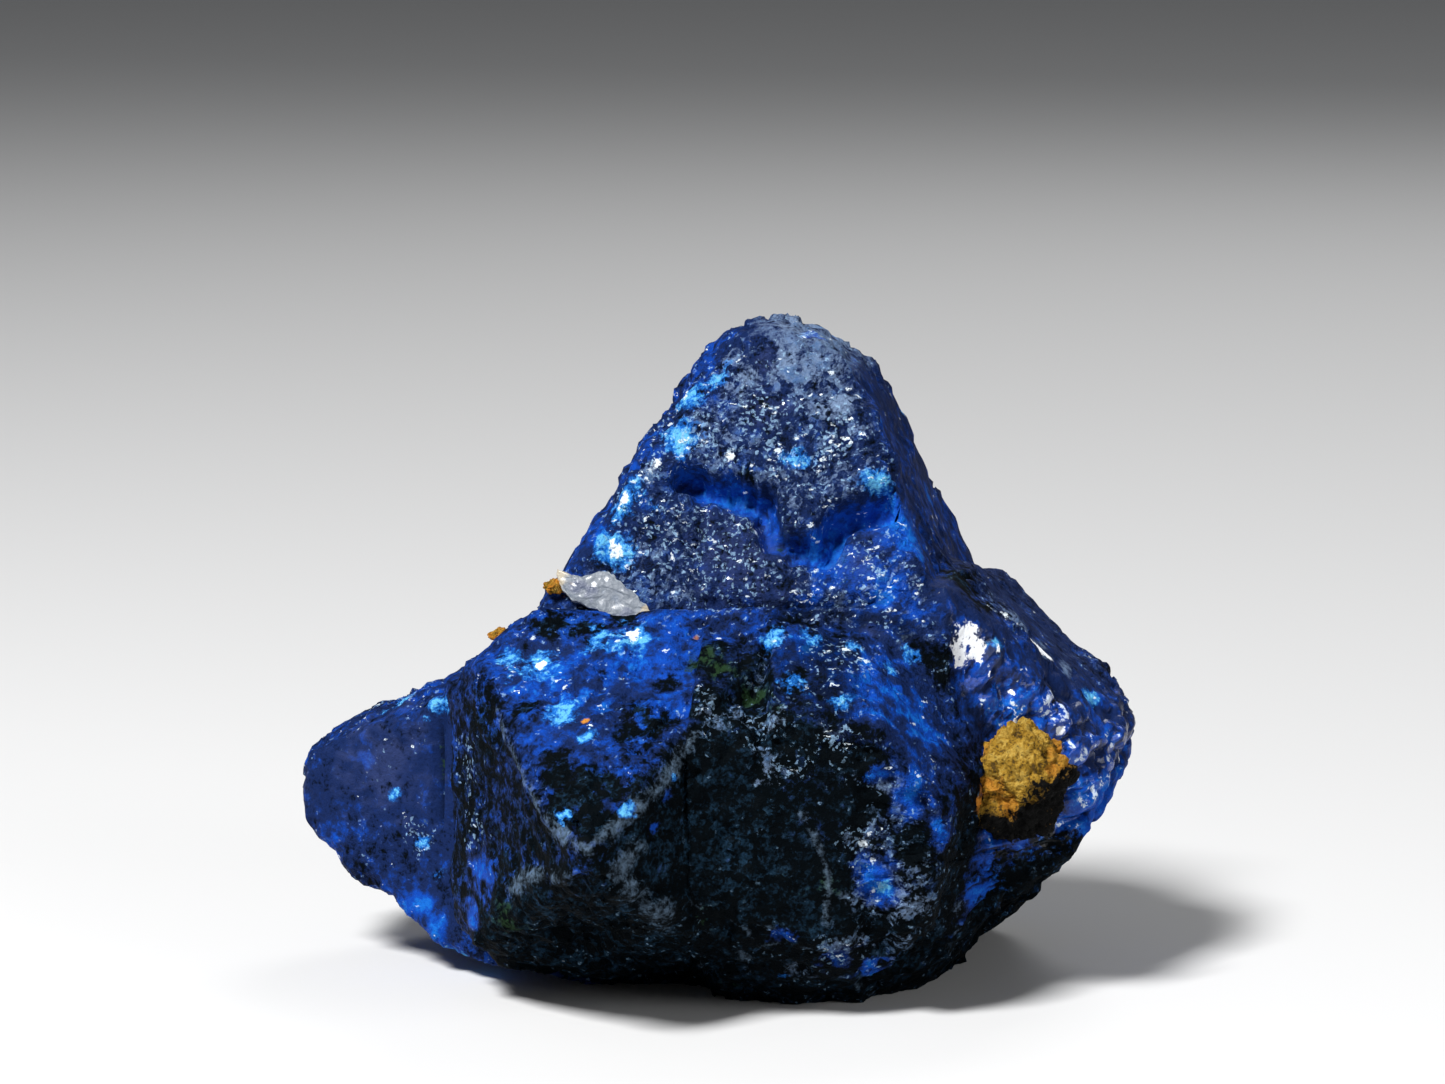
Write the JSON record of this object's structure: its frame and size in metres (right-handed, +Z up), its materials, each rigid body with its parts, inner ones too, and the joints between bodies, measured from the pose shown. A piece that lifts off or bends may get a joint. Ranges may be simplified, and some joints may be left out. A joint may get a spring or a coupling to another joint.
{
  "type": "cumengeite crystal",
  "caption": "Star-shaped deep blue crystal of blunt pyramids grown together, with worn rough faces, an ochre lump and a pale flake, resting on its flat broken underside.",
  "frame": {"origin": "middle of the underside of the bounding box, on the surface the crystal rests on", "axes": "+Z up along the top arm, +X along the right arm, -Y towards the front arm"},
  "size_m": [0.0122, 0.0114, 0.0092],
  "materials": {
    "cumengeite": "glassy deep indigo blue, etched bright blue and pale cyan in patches, with grey and brown crusts",
    "limonite": "earthy granular ochre, dark brown below",
    "pale_mineral": "pearly grey white with fine cleavage lines"
  },
  "bodies": {
    "root": {"cumengeite_star": "cumengeite", "limonite_lump": "limonite", "pale_flake": "pale_mineral", "ochre_grain_1": "limonite", "ochre_grain_2": "limonite"}
  },
  "joints": []
}
